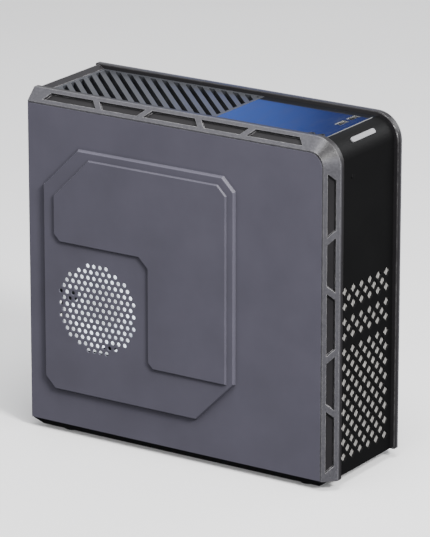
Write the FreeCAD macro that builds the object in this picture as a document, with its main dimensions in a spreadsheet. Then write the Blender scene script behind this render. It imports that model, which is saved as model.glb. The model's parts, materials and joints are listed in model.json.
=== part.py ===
import FreeCAD, Part
import Sketcher
import math
import os
import re

from FreeCAD import Placement, Rotation, Vector

# A compact desktop computer tower.  Frame: +Z up, the front faces -Y, the embossed and vented
# side panel is on -X.  The origin is on the floor at the centre of the bounding box.

SIZES = {
    # casing
    "body_width": 110, "body_depth": 286, "body_height": 276, "foot_height": 8,
    "sheet_thick": 1, "seam_gap": 0.3, "edge_flange": 10, "screw_inset": 5.5,
    "wall_inset": 2.6, "wall_thick": 1.2, "screw_bore": 2.05, "screw_shank": 1.95,
    "head_reach": 1.6, "head_radius": 3.4,
    # trim rails
    "rail_leg": 10.5, "rail_reach": 15, "rail_chamfer": 9.3, "rail_radius": 22, "window_depth": 2.4,
    # embossing and vent of the side panels
    "emboss_one": 2.4, "emboss_two": 1.4, "emboss_slope": 0.55,
    "vent_radius": 38.5, "vent_hole": 1.75, "vent_pitch": 5.85, "vent_from_rear": 67, "vent_height": 104,
    # front bezel and top covers
    "face_recess": 3.5, "bezel_thick": 2.2, "lattice_thick": 1, "bezel_radius": 16, "lattice_pitch": 12.4,
    "diamond_half": 4.2, "lattice_low": 14.7, "lattice_step": 6.18, "grille_end": 163, "trim_depth": 8,
    "slat_pitch": 11.3, "slat_width": 4.2, "slat_angle": 44, "grille_rim": 2.5, "cover_thick": 2,
    # controls
    "bar_length": 34.5, "bar_width": 4.2, "bar_travel": 1.2, "reset_radius": 1.7, "reset_travel": 1,
    "reset_x": -22, "reset_height": 241,
    # plinth and feet
    "plinth_gap": 1.5, "plinth_bevel": 6, "plinth_band": 24, "pad_radius": 8, "pad_inset_x": 16,
    "pad_inset_y": 30,
    # inner structure
    "tray_x": 45.5, "wall_front": 14, "wall_top": 226, "bar_depth": 14,
    # mainboard
    "board_side": 170, "board_thick": 1.6, "board_low": 10, "board_x": 38.9, "board_rear": 3,
    "standoff_radius": 2.6, "standoff_edge": 8, "screw_radius": 1.5,
    # fans
    "fan_side": 80, "fan_deep": 25, "fan_bore": 38, "fan_hub": 17, "fan_gap": 1.2, "blade_thick": 1.4,
    "shaft_radius": 1.5, "shaft_fit": 0.05,
    # processor cooler
    "sink_side": 76, "sink_base": 6, "fin_thick": 0.8, "fin_pitch": 4, "cooler_fan_x": -22,
    # power supply
    "supply_width": 85, "supply_height": 65, "supply_depth": 175, "supply_low": 193, "supply_shell": 0.8,
    "supply_fan_deep": 15,
    # storage drive
    "drive_long": 100, "drive_wide": 69.8, "drive_thick": 7, "drive_low": 138, "drive_setback": 6,
}

FRONT = "(-(body_depth + head_reach) / 2)"
REAR = "((body_depth - head_reach) / 2)"
TOP = "(foot_height + body_height)"
HALF = "(body_width / 2)"

doc = FreeCAD.newDocument("desktop_tower")
sheet = doc.addObject("Spreadsheet::Sheet", "Sizes")
for row, (alias, number) in enumerate(SIZES.items(), start=1):
    sheet.set(f"A{row}", alias)
    sheet.set(f"B{row}", str(number))
    sheet.setAlias(f"B{row}", alias)
doc.recompute()

sub_parts = []

# heights above the body's base of the screws that hold each side panel
SCREW_HEIGHTS = (46, 216)


def size(alias):
    """The number held by a cell of the sheet."""
    return float(sheet.get(alias))


def bound(text):
    """An expression in which every alias refers to the sheet."""
    return re.sub(r"[a-z][a-z_]+", lambda found: "Sizes." + found.group(), str(text))


def keep(item, label):
    """Name a finished sub-part."""
    item.Label = label
    sub_parts.append(item)
    return item


def block(name, low, high):
    """A box between two corners, each coordinate an expression."""
    box = doc.addObject("Part::Box", name)
    for side, axis, start, end in zip(("Length", "Width", "Height"), "xyz", low, high):
        box.setExpression(side, bound(f"({end}) - ({start})"))
        box.setExpression(f"Placement.Base.{axis}", bound(start))
    return box


TURNS = {"x": Rotation(Vector(0, 1, 0), 90), "y": Rotation(Vector(1, 0, 0), -90), "z": Rotation()}


def rod(name, start, axis, radius, length):
    """A cylinder from a start point along +x, +y or +z."""
    cylinder = doc.addObject("Part::Cylinder", name)
    cylinder.Placement = Placement(Vector(), TURNS[axis])
    cylinder.setExpression("Radius", bound(radius))
    cylinder.setExpression("Height", bound(length))
    for letter, value in zip("xyz", start):
        cylinder.setExpression(f"Placement.Base.{letter}", bound(value))
    return cylinder


def fuse(name, items):
    """One solid from several."""
    union = doc.addObject("Part::MultiFuse", name)
    union.Shapes = items
    union.Refine = True
    return union


def group(name, items):
    """Separate solids that share one node."""
    compound = doc.addObject("Part::Compound", name)
    compound.Links = items
    return compound


def cut(name, base, tools):
    """A solid with one or more tools taken away."""
    result = doc.addObject("Part::Cut", name)
    result.Base = base
    result.Tool = tools[0] if len(tools) == 1 else group(name + "_tools", tools)
    result.Refine = True
    return result


def shaped(name, shape, place=None):
    """A feature whose shape is built with Part's own functions."""
    feature = doc.addObject("Part::Feature", name)
    feature.Shape = shape
    if place is not None:
        feature.Placement = place
    return feature


# numbers that the shaped features share
HALF_X = size("body_width") / 2
FRONT_Y = -(size("body_depth") + size("head_reach")) / 2
REAR_Y = (size("body_depth") - size("head_reach")) / 2
BASE_Z = size("foot_height")
TOP_Z = BASE_Z + size("body_height")
GAP = size("seam_gap")
COVER_HALF = HALF_X - size("rail_reach") - GAP
FACE_Y = FRONT_Y + size("face_recess")
COVER_Z = TOP_Z - size("face_recess")
DIAGONAL = math.sqrt(0.5)


def polygon(points):
    """A closed wire through points."""
    return Part.makePolygon(list(points) + [points[0]])


def upright(x_low, x_high, z_low, z_high, y):
    """A rectangle in a plane of constant y."""
    corners = ((x_low, z_low), (x_high, z_low), (x_high, z_high), (x_low, z_high))
    return polygon([Vector(x, y, z) for x, z in corners])


def side_point(x, from_rear, height):
    """A point of a side panel, given from its rear lower corner."""
    return Vector(x, REAR_Y - from_rear, BASE_Z + height)


def rounded_outline(x, low_y, high_y, low_z, high_z, radius):
    """A rectangle in a plane of constant x with its top front corner rounded."""
    corner = Vector(x, low_y + radius, high_z - radius)
    arc = Part.Arc(
        corner + Vector(0, -radius, 0),
        corner + Vector(0, -radius * DIAGONAL, radius * DIAGONAL),
        corner + Vector(0, 0, radius),
    )
    points = [
        Vector(x, low_y, high_z - radius), Vector(x, low_y, low_z),
        Vector(x, high_y, low_z), Vector(x, high_y, high_z), Vector(x, low_y + radius, high_z),
    ]
    edges = [Part.LineSegment(a, b).toShape() for a, b in zip(points, points[1:])]
    return Part.Wire(Part.__sortEdges__(edges + [arc.toShape()]))


# ---------------------------------------------------------------- casing

def base_plinth():
    body = doc.addObject("PartDesign::Body", "plinth_body")
    plane = next(item for item in body.Origin.OriginFeatures if item.Role == "XY_Plane")
    outline = rectangle_sketch(
        body, plane, "plinth_outline",
        (f"{HALF} - sheet_thick", "body_depth - edge_flange"),
        f"{REAR} - sheet_thick",
    )
    pad = body.newObject("PartDesign::Pad", "plinth_pad")
    pad.Profile = outline
    pad.setExpression("Length", bound("foot_height - plinth_gap"))
    doc.recompute()
    bevel = body.newObject("PartDesign::Chamfer", "plinth_chamfer")
    bevel.Base = (pad, lower_edges(pad.Shape))
    bevel.setExpression("Size", bound("plinth_bevel"))
    doc.recompute()
    opening = rectangle_sketch(
        body, plane, "plinth_opening",
        (f"{HALF} - sheet_thick - plinth_band", "body_depth - edge_flange - 2 * plinth_band"),
        f"{REAR} - sheet_thick - plinth_band",
    )
    pocket = body.newObject("PartDesign::Pocket", "plinth_pocket")
    pocket.Profile = opening
    pocket.Type = "ThroughAll"
    pocket.Midplane = True
    body.setExpression("Placement.Base.z", bound("plinth_gap"))
    body.Tip = pocket
    keep(body, "base_plinth")


def lower_edges(shape):
    """Names of the edges that lie in a shape's lowest plane."""
    low = shape.BoundBox.ZMin
    return [
        f"Edge{number}" for number, edge in enumerate(shape.Edges, start=1)
        if edge.BoundBox.ZMax - low < 0.001
    ]


def rectangle_sketch(body, plane, name, extent, rear_edge):
    """A rectangle centred on x, of half width and length given, ending at a rear edge."""
    sketch = body.newObject("Sketcher::SketchObject", name)
    sketch.AttachmentSupport = [(plane, "")]
    sketch.MapMode = "FlatFace"
    corners = [Vector(-40, -100, 0), Vector(40, -100, 0), Vector(40, 100, 0), Vector(-40, 100, 0)]
    for start, end in zip(corners, corners[1:] + corners[:1]):
        sketch.addGeometry(Part.LineSegment(start, end))
    constraints = [("Coincident", i, 2, (i + 1) % 4, 1) for i in range(4)]
    constraints += [("Horizontal", 0), ("Vertical", 1), ("Horizontal", 2), ("Vertical", 3)]
    for entry in constraints:
        sketch.addConstraint(Sketcher.Constraint(*entry))
    named = [
        ("left", ("DistanceX", 0, 1, -1, 1, 40), extent[0]),
        ("right", ("DistanceX", -1, 1, 0, 2, 40), extent[0]),
        ("length", ("DistanceY", 1, 1, 1, 2, 200), extent[1]),
        ("rear", ("DistanceY", -1, 1, 2, 1, 100), rear_edge),
    ]
    for label, entry, expression in named:
        index = sketch.addConstraint(Sketcher.Constraint(*entry))
        sketch.renameConstraint(index, label)
        sketch.setExpression(f"Constraints.{label}", bound(expression))
    return sketch


def rubber_feet():
    places = [(sx, end) for sx in ("", "-") for end in (FRONT + " + pad_inset_y", REAR + " - pad_inset_y")]
    pads = [
        rod(f"foot_pad_{i}", (f"{sx}({HALF} - pad_inset_x)", y, "0"), "z", "pad_radius", "plinth_gap")
        for i, (sx, y) in enumerate(places)
    ]
    keep(group("foot_pads", pads), "rubber_feet")


def base_pan():
    inner = f"({HALF} - 2 * sheet_thick)"
    y_low, y_high = f"{FRONT} + wall_front - sheet_thick", f"{REAR} - wall_inset - seam_gap"
    z_low, z_high = "foot_height", "foot_height + 1.2 * edge_flange"
    floor = block("pan_floor", (f"-{inner}", y_low, z_low), (inner, y_high, "foot_height + sheet_thick"))
    spans = [(f"-{inner}", f"-{inner} + sheet_thick"), (f"{inner} - sheet_thick", inner)]
    flanges = [
        block(f"pan_flange_{i}", (low, y_low, z_low), (high, y_high, z_high))
        for i, (low, high) in enumerate(spans)
    ]
    shell = fuse("pan_shell", [floor] + flanges)
    slots = [
        block(
            f"pan_slot_{i}",
            ("-fan_side / 3", f"{FRONT} + 4 * edge_flange + {i} * edge_flange", "0"),
            ("fan_side / 3", f"{FRONT} + 4.4 * edge_flange + {i} * edge_flange", "2 * foot_height"),
        )
        for i in range(10)
    ]
    keep(cut("pan_vented", shell, slots), "base_pan")


SLOT_SCREW_Z = "foot_height + 11.5"


def rear_panel():
    y_low, y_high = f"{REAR} - wall_inset", f"{REAR} - wall_inset + wall_thick"
    edge = f"({HALF} - 1.4 * sheet_thick)"
    wall = block(
        "rear_wall", (f"-{edge}", y_low, "foot_height + sheet_thick"),
        (edge, y_high, f"{TOP} - rail_leg - seam_gap"),
    )
    far_low, far_high = f"{REAR} - 2 * edge_flange", f"{REAR} + edge_flange"

    def window(name, x_low, x_high, z_low, z_high):
        return block(name, (x_low, far_low, z_low), (x_high, far_high, z_high))

    tools = [
        window("port_window", "board_x - 41", "board_x + 3.5", "foot_height + 23", "foot_height + 182"),
        window("slot_window", "board_x - 80", "board_x", "foot_height + 5", "foot_height + 18"),
        window("supply_window", "-0.95 * supply_width / 2", "0.95 * supply_width / 2",
               "foot_height + supply_low + 2", "foot_height + supply_low + supply_height - 2"),
    ]
    for i in range(4):
        for j in range(13):
            x = f"-{HALF} + 13 + {i} * 7.5 + {j % 2} * 3.75"
            z = f"foot_height + 30 + {j} * 6.5"
            tools.append(rod(f"rear_hole_{i}_{j}", (x, far_low, z), "y", "2.6", "4 * edge_flange"))
    tools.append(rod("slot_thread", ("board_x + 3", far_low, SLOT_SCREW_Z), "y", "1.5", "4 * edge_flange"))
    for i, (sign, height) in enumerate([(sign, height) for sign in ("-", "") for height in SCREW_HEIGHTS]):
        place = (f"{sign}({HALF} - screw_inset)", far_low, f"foot_height + {height}")
        tools.append(rod(f"thread_{i}", place, "y", "screw_bore", "4 * edge_flange"))
    keep(cut("rear_pierced", wall, tools), "rear_panel")


def board_tray():
    plate = block(
        "tray_plate",
        ("tray_x", f"{FRONT} + wall_front + 2 * sheet_thick", "foot_height + 1.5 * sheet_thick"),
        ("tray_x + sheet_thick", f"{REAR} - wall_inset - seam_gap", f"{TOP} - 13"),
    )
    centre_y = f"{REAR} - board_rear - board_side / 2"
    centre_z = "foot_height + board_low + board_side / 2"
    hole = rod("tray_hole", ("0", centre_y, centre_z), "x", "20", "body_width")
    keep(cut("tray_pierced", plate, [hole]), "board_tray")


def front_wall():
    plate = block(
        "wall_plate",
        (f"-{HALF} + 3.3 * sheet_thick", f"{FRONT} + wall_front", "foot_height + 1.5 * sheet_thick"),
        (f"{HALF} - 3.3 * sheet_thick", f"{FRONT} + wall_front + sheet_thick", "foot_height + wall_top"),
    )
    centre = ("0", FRONT, "foot_height + lattice_low + fan_side")
    hole = rod("wall_hole", centre, "y", "fan_bore", "body_depth / 4")
    keep(cut("wall_pierced", plate, [hole]), "front_wall")


def top_bars():
    z_low, z_high = f"{TOP} - 1.2 * rail_leg", f"{TOP} - rail_leg - seam_gap"
    inner = f"({HALF} - 2 * sheet_thick)"
    bars = [
        block(f"cross_bar_{i}", (f"-{inner}", y, z_low), (inner, f"{y} + bar_depth", z_high))
        for i, y in enumerate([f"{REAR} - grille_end - bar_depth / 2", f"{REAR} - 2 * bar_depth"])
    ]
    keep(group("cross_bars", bars), "top_cross_bars")


def emboss(points, x_base, bevel, height):
    """A raised plateau with sloping sides, standing out towards -x."""
    lower = polygon([side_point(x_base, *point) for point in points])
    upper = Part.Face(lower).makeOffset2D(-bevel, 2).OuterWire
    upper.translate(Vector(-height, 0, 0))
    return Part.makeLoft([lower, upper], True, True)


OUTER_PLATEAU = [
    (15, 39), (15, 200), (49, 234), (186, 234), (197, 223), (197, 65), (161, 29), (25, 29),
]
UPPER_PLATEAU = [
    (26, 161), (26, 193), (60, 227), (182, 227), (190, 219), (190, 64), (121, 64), (116, 69),
    (116, 147), (108, 155), (32, 155),
]
FULL_PLATEAU = [
    (26, 44), (26, 193), (60, 227), (182, 227), (190, 219), (190, 70), (156, 36), (34, 36),
]


def vent_holes():
    """Round holes on a triangular lattice inside the vent's circle."""
    pitch, reach, radius = size("vent_pitch"), size("vent_radius"), size("vent_hole")
    row_step = pitch * math.sqrt(3) / 2
    rows = int(reach / row_step)
    holes = []
    for row in range(-rows, rows + 1):
        shift = pitch / 2 if row % 2 else 0
        for column in range(-rows - 1, rows + 2):
            across, up = column * pitch + shift, row * row_step
            if math.hypot(across, up) + radius > reach:
                continue
            start = side_point(-HALF_X - 8, size("vent_from_rear") + across, size("vent_height") + up)
            holes.append(Part.makeCylinder(radius, 12, start, Vector(1, 0, 0)))
    return Part.makeCompound(holes)


def side_panel_shape(vented):
    """The -x panel: a sheet with a rear flange, a stepped plateau and, if vented, holes."""
    thick = size("sheet_thick")
    leg = size("rail_leg") + GAP
    outline = rounded_outline(
        -HALF_X, FRONT_Y + leg, REAR_Y, BASE_Z + GAP, TOP_Z - leg, size("rail_radius") - leg
    )
    skin = Part.Face(outline).extrude(Vector(thick, 0, 0))
    flange = Part.makeBox(
        size("edge_flange"), thick, size("body_height") - leg - GAP,
        Vector(-HALF_X, REAR_Y - thick, BASE_Z + GAP),
    )
    one, two = size("emboss_one"), size("emboss_two")
    upper = UPPER_PLATEAU if vented else FULL_PLATEAU
    low = emboss(OUTER_PLATEAU, -HALF_X, one * size("emboss_slope"), one)
    high = emboss(upper, -HALF_X - one, two * size("emboss_slope"), two)
    hollow = [low.translated(Vector(thick, 0, 0)), high.translated(Vector(thick, 0, 0))]
    shape = skin.fuse([flange, low, high]).cut(hollow)
    shape = shape.removeSplitter()
    tools = [
        Part.makeCylinder(
            size("screw_bore"), 4 * thick,
            Vector(-HALF_X + size("screw_inset"), REAR_Y - 2 * thick, BASE_Z + height),
            Vector(0, 1, 0),
        )
        for height in SCREW_HEIGHTS
    ]
    if vented:
        tools.append(vent_holes())
    return shape.cut(tools)


def side_panels():
    keep(shaped("left_panel", side_panel_shape(True)), "left_side_panel")
    plain = side_panel_shape(False).mirror(Vector(), Vector(1, 0, 0))
    keep(shaped("right_panel", plain), "right_side_panel")


def cross_headed(name, x, z):
    """A pan-head screw in the rear edge, with a cross recess."""
    start = (x, f"{REAR} - 2 * wall_inset", z)
    shank = rod(f"{name}_shank", start, "y", "screw_shank", "2 * wall_inset + head_reach / 2")
    head = rod(f"{name}_head", (x, REAR, z), "y", "head_radius", "head_reach")
    long, short = "head_radius / 2", "head_radius / 8"
    recess = [
        block(
            f"{name}_slot_{i}", (f"{x} - {wide}", f"{REAR} + head_reach / 3", f"{z} - {tall}"),
            (f"{x} + {wide}", f"{REAR} + 2 * head_reach", f"{z} + {tall}"),
        )
        for i, (wide, tall) in enumerate([(long, short), (short, long)])
    ]
    return cut(f"{name}_crossed", fuse(name, [shank, head]), recess)


def panel_screws():
    for side, sign in (("left", "-"), ("right", "")):
        x = f"{sign}({HALF} - screw_inset)"
        screws = [
            cross_headed(f"{side}_screw_{i}", x, f"foot_height + {z}")
            for i, z in enumerate(SCREW_HEIGHTS)
        ]
        keep(group(f"{side}_screws", screws), f"{side}_panel_screws")


# ---------------------------------------------------------------- trim rails

WINDOW_PERIOD = 96
WINDOW_LONG = 51
WINDOW_SLANT = 5.5
WINDOW_HALF = 3.4
RIB_WIDTH = 6


def window_outlines(first):
    """Trapezoids along a run: long ones wide at the panel, short ones wide at the ridge."""
    outlines = []
    for i in range(3):
        start = first + i * WINDOW_PERIOD
        end = start + WINDOW_LONG
        outlines.append([
            (start, -WINDOW_HALF), (end, -WINDOW_HALF),
            (end - WINDOW_SLANT, WINDOW_HALF), (start + WINDOW_SLANT, WINDOW_HALF),
        ])
        if i == 2:
            break
        near = end - WINDOW_SLANT + RIB_WIDTH
        far = start + WINDOW_PERIOD + WINDOW_SLANT - RIB_WIDTH
        outlines.append([
            (near + WINDOW_SLANT, -WINDOW_HALF), (far - WINDOW_SLANT, -WINDOW_HALF),
            (far, WINDOW_HALF), (near, WINDOW_HALF),
        ])
    return outlines


def window_cutters():
    """Prisms that sink the windows into the chamfer of the -x rail."""
    middle = size("rail_chamfer") / 2
    depth = size("window_depth")
    cutters = []
    for outline in window_outlines(13):
        inward = Vector(DIAGONAL, 0, -DIAGONAL)
        across = Vector(DIAGONAL, 0, DIAGONAL)
        centre = Vector(-HALF_X + middle, REAR_Y, TOP_Z - middle)
        points = [centre + Vector(0, -run, 0) + across * t - inward for run, t in outline]
        cutters.append(Part.Face(polygon(points)).extrude(inward * (depth + 1)))
    for outline in window_outlines(26):
        inward = Vector(DIAGONAL, DIAGONAL, 0)
        across = Vector(DIAGONAL, -DIAGONAL, 0)
        centre = Vector(-HALF_X + middle, FRONT_Y + middle, TOP_Z)
        points = [centre + Vector(0, 0, -run) + across * t - inward for run, t in outline]
        cutters.append(Part.Face(polygon(points)).extrude(inward * (depth + 1)))
    return cutters


def rail_shape():
    """The -x rail: an L of the top and front edges, chamfered outside, with sunk windows."""
    leg, radius, reach = size("rail_leg"), size("rail_radius"), size("rail_reach")
    outer = rounded_outline(-HALF_X, FRONT_Y, REAR_Y, BASE_Z, TOP_Z, radius)
    inner = rounded_outline(
        -HALF_X, FRONT_Y + leg, REAR_Y + leg, BASE_Z - leg, TOP_Z - leg, radius - leg
    )
    solid = Part.Face(outer).extrude(Vector(reach, 0, 0))
    solid = solid.cut(Part.Face(inner).extrude(Vector(reach, 0, 0)))
    chamfered = [
        edge for edge in solid.Edges
        if abs(edge.BoundBox.XMin + HALF_X) < 0.001 and edge.BoundBox.XLength < 0.001
        and on_outline(edge, radius)
    ]
    solid = solid.makeChamfer(size("rail_chamfer"), chamfered)
    ridge = [
        edge for edge in solid.Edges
        if abs(edge.BoundBox.XMin + HALF_X - reach) < 0.001 and edge.BoundBox.XLength < 0.001
        and on_outline(edge, radius)
    ]
    solid = solid.makeFillet(0.8, ridge)
    return solid.cut(window_cutters())


def on_outline(edge, radius):
    """True for an edge of the rail's outer top line, corner arc or front line."""
    middle = edge.valueAt((edge.FirstParameter + edge.LastParameter) / 2)
    on_top = abs(middle.z - TOP_Z) < 0.001
    on_front = abs(middle.y - FRONT_Y) < 0.001
    corner = Vector(middle.x, FRONT_Y + radius, TOP_Z - radius)
    on_arc = abs((middle - corner).Length - radius) < 0.001 and middle.z > corner.z
    return on_top or on_front or on_arc


def trim_rails():
    keep(shaped("left_rail", rail_shape()), "left_trim_rail")
    keep(shaped("right_rail", rail_shape().mirror(Vector(), Vector(1, 0, 0))), "right_trim_rail")


# ---------------------------------------------------------------- front and top covers

PLAIN_ROWS = (3, 7)
LATTICE_ROWS = 23


def diamond_centres():
    """Centres (x, z) of the lattice's openings, rows counted from the top."""
    step, half_pitch = size("lattice_step"), size("lattice_pitch") / 2
    centres = []
    for row in range(LATTICE_ROWS):
        if row in PLAIN_ROWS:
            continue
        z = BASE_Z + size("lattice_low") + (LATTICE_ROWS - 1 - row) * step
        columns = range(-5, 6, 2) if row % 2 == 0 else range(-4, 5, 2)
        centres += [(column * half_pitch, z) for column in columns]
    return centres


def bezel_profile(thick):
    """The bezel's section in the YZ plane: front, rounded corner and short top."""
    radius = size("bezel_radius")
    centre = Vector(0, FACE_Y + radius, COVER_Z - radius)

    def arc(r):
        return Part.Arc(
            centre + Vector(0, -r, 0),
            centre + Vector(0, -r * DIAGONAL, r * DIAGONAL),
            centre + Vector(0, 0, r),
        ).toShape()

    low = lattice_top()
    outer = [Vector(0, FACE_Y, low), Vector(0, FACE_Y, centre.z)]
    inner = [Vector(0, FACE_Y + thick, centre.z), Vector(0, FACE_Y + thick, low)]
    edges = [
        Part.LineSegment(*outer).toShape(), arc(radius),
        Part.LineSegment(centre + Vector(0, 0, radius), centre + Vector(0, 0, radius - thick)).toShape(),
        arc(radius - thick), Part.LineSegment(*inner).toShape(),
        Part.LineSegment(inner[1], outer[0]).toShape(),
    ]
    return Part.Wire(Part.__sortEdges__(edges))


def lattice_top():
    return BASE_Z + size("lattice_low") + LATTICE_ROWS * size("lattice_step")


def bar_centre():
    """The middle of the power bar on the bezel's rounded corner, and the way it faces."""
    radius = size("bezel_radius")
    facing = Vector(0, -DIAGONAL, DIAGONAL)
    return Vector(0, FACE_Y + radius, COVER_Z - radius) + facing * radius, facing


def bar_prism(length, width, proud, deep):
    """A round-ended bar across the corner, from above the surface to below it."""
    centre, facing = bar_centre()
    flat = length / 2 - width / 2
    up = facing.cross(Vector(1, 0, 0))
    start = centre + facing * proud
    corners = [
        (Vector(-flat, 0, 0) - up * (width / 2), Vector(flat, 0, 0) - up * (width / 2)),
        (Vector(flat, 0, 0) + up * (width / 2), Vector(-flat, 0, 0) + up * (width / 2)),
    ]
    right = Part.Arc(start + corners[0][1], start + Vector(length / 2, 0, 0), start + corners[1][0])
    left = Part.Arc(start + corners[1][1], start + Vector(-length / 2, 0, 0), start + corners[0][0])
    edges = [Part.LineSegment(start + a, start + b).toShape() for a, b in corners]
    wire = Part.Wire(Part.__sortEdges__(edges + [right.toShape(), left.toShape()]))
    return Part.Face(wire).extrude(-facing * (proud + deep))


def front_bezel():
    thick, half = size("bezel_thick"), size("diamond_half")
    upper = Part.Face(bezel_profile(thick)).extrude(Vector(2 * COVER_HALF, 0, 0))
    upper.translate(Vector(-COVER_HALF, 0, 0))
    low, high = BASE_Z + GAP, lattice_top()
    frame = upright(-COVER_HALF, COVER_HALF, low, high, FACE_Y)
    openings = [
        polygon([
            Vector(x - half, FACE_Y, z), Vector(x, FACE_Y, z - half),
            Vector(x + half, FACE_Y, z), Vector(x, FACE_Y, z + half),
        ])
        for x, z in diamond_centres()
    ]
    lattice = Part.makeFace([frame] + openings, "Part::FaceMakerBullseye")
    lower = lattice.extrude(Vector(0, size("lattice_thick"), 0))
    reset = Part.makeCylinder(
        size("reset_radius") + GAP, 20,
        Vector(size("reset_x"), FACE_Y - 5, BASE_Z + size("reset_height")), Vector(0, 1, 0),
    )
    bar = bar_prism(size("bar_length") + 2 * GAP, size("bar_width") + 2 * GAP, 6, 6)
    shape = upper.cut([reset, bar]).fuse(lower).removeSplitter()
    keep(shaped("bezel", shape), "front_bezel")


def intake_screen():
    """A slotted metal screen behind the lattice."""
    y = FACE_Y + size("lattice_thick") + GAP
    low, high = BASE_Z + size("lattice_low") - 8, lattice_top() - 2
    half = COVER_HALF - 3
    frame = upright(-half, half, low, high, y)
    slots = []
    for band_low, band_high in ((low + 2, (low + high) / 2 - 1), ((low + high) / 2 + 1, high - 2)):
        for i in range(-14, 15):
            x = i * 2.4
            slots.append(upright(x - 0.5, x + 0.5, band_low, band_high, y))
    shape = Part.makeFace([frame] + slots, "Part::FaceMakerBullseye").extrude(Vector(0, 0.6, 0))
    keep(shaped("screen", shape), "intake_screen")


def top_grille():
    """A frame filled with slanting slats."""
    y_high = REAR_Y - size("trim_depth") - GAP
    y_low = REAR_Y - size("grille_end") + GAP
    z_low = TOP_Z - size("rail_leg")
    height = COVER_Z - z_low
    outer = Part.makeBox(2 * COVER_HALF, y_high - y_low, height, Vector(-COVER_HALF, y_low, z_low))
    rim = size("grille_rim")
    inner = Part.makeBox(
        2 * COVER_HALF - 2 * rim, y_high - y_low - 2 * rim, height,
        Vector(-COVER_HALF + rim, y_low + rim, z_low),
    )
    slope = math.tan(math.radians(size("slat_angle")))
    half_along = size("slat_width") / math.cos(math.radians(size("slat_angle"))) / 2
    pitch = size("slat_pitch")
    reach = COVER_HALF
    slats = []
    first = y_low - reach * slope
    count = int((y_high - y_low + 2 * reach * slope) / pitch) + 1
    for i in range(count):
        y = first + i * pitch
        near, far = y - reach * slope, y + reach * slope
        outline = polygon([
            Vector(-reach, near - half_along, z_low), Vector(reach, far - half_along, z_low),
            Vector(reach, far + half_along, z_low), Vector(-reach, near + half_along, z_low),
        ])
        slats.append(Part.Face(outline).extrude(Vector(0, 0, height - 0.4)))
    filling = inner.common(Part.makeCompound(slats))
    shape = outer.cut(inner).fuse(filling.Solids).removeSplitter()
    keep(shaped("grille", shape), "top_grille")


JACK_PLACES = [(-30, 250), (-30, 259)]
USB_PLACES = [(8, 254), (25, 254)]


def top_plate():
    y_high, y_low = REAR_Y - size("grille_end") - GAP / 2, FACE_Y + size("bezel_radius") + GAP
    thick = size("cover_thick")
    plate = Part.makeBox(2 * COVER_HALF, y_high - y_low, thick, Vector(-COVER_HALF, y_low, COVER_Z - thick))
    skirt_low = TOP_Z - size("rail_leg")
    skirts = [
        Part.makeBox(1.6, y_high - y_low, COVER_Z - thick - skirt_low, Vector(x, y_low, skirt_low))
        for x in (-COVER_HALF, COVER_HALF - 1.6)
    ]
    tools = [
        Part.makeCylinder(3.1, 10, Vector(x, REAR_Y - u, COVER_Z - 6), Vector(0, 0, 1))
        for x, u in JACK_PLACES
    ]
    tools += [
        Part.makeBox(13.6, 6.2, 10, Vector(x - 6.8, REAR_Y - u - 3.1, COVER_Z - 6)) for x, u in USB_PLACES
    ]
    shape = plate.fuse(skirts).cut(tools).removeSplitter()
    edges = [
        edge for edge in shape.Edges
        if abs(edge.BoundBox.ZMin - COVER_Z) < 0.001 and abs(edge.BoundBox.YMax - y_low) < 0.001
    ]
    keep(shaped("plate", shape.makeChamfer(1, edges)), "top_plate")


def rear_top_trim():
    z_low = TOP_Z - size("rail_leg")
    depth = size("trim_depth")
    profile = polygon([
        Vector(-COVER_HALF, REAR_Y - depth, z_low), Vector(-COVER_HALF, REAR_Y, z_low),
        Vector(-COVER_HALF, REAR_Y, TOP_Z - 3), Vector(-COVER_HALF, REAR_Y - 3, TOP_Z - 0.5),
        Vector(-COVER_HALF, REAR_Y - depth, COVER_Z),
    ])
    shape = Part.Face(profile).extrude(Vector(2 * COVER_HALF, 0, 0))
    keep(shaped("rear_trim", shape), "rear_top_trim")


# ---------------------------------------------------------------- controls and sockets at the top

SWITCH_DEEP = 7


def power_button():
    bar = bar_prism(size("bar_length"), size("bar_width"), 0.8, SWITCH_DEEP)
    keep(shaped("power_bar", bar), "power_button")


def facing_box(width, tall, near, far):
    """A box behind the power bar, between two depths below the surface."""
    centre, facing = bar_centre()
    up = facing.cross(Vector(1, 0, 0))
    start = centre - facing * near
    points = [
        start + Vector(sx * width / 2, 0, 0) + up * (sy * tall / 2)
        for sx, sy in ((-1, -1), (1, -1), (1, 1), (-1, 1))
    ]
    return Part.Face(polygon(points)).extrude(-facing * (far - near))


def power_switch():
    near = SWITCH_DEEP + size("bar_travel") + 0.3
    switch = facing_box(6, 6, near + 1, near + 4)
    plunger = facing_box(3, 3, near, near + 1)
    keep(shaped("power_tact", switch.fuse(plunger)), "power_switch")
    board = facing_box(40, 12, near + 4, near + 5.2)
    return shaped("power_board", board)


def reset_parts():
    z = "foot_height + reset_height"
    proud = f"{FRONT} + face_recess - 0.4"
    stem = rod("reset_stem", ("reset_x", proud, z), "y", "reset_radius", "9")
    collar = rod("reset_collar", ("reset_x", f"{proud} + 5.5", z), "y", "1.6 * reset_radius", "1.5")
    keep(fuse("reset_pin", [stem, collar]), "reset_button")
    face = f"{FRONT} + face_recess + 10"
    body = block("reset_tact", ("reset_x - 3", face, f"{z} - 3"), ("reset_x + 3", f"{face} + 4", f"{z} + 3"))
    keep(body, "reset_switch")
    board = block("reset_pcb", ("-30", f"{face} + 4", f"{z} - 8"), ("10", f"{face} + 5.2", f"{z} + 8"))
    keep(group("front_boards", [board, power_switch()]), "front_switch_boards")


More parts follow.
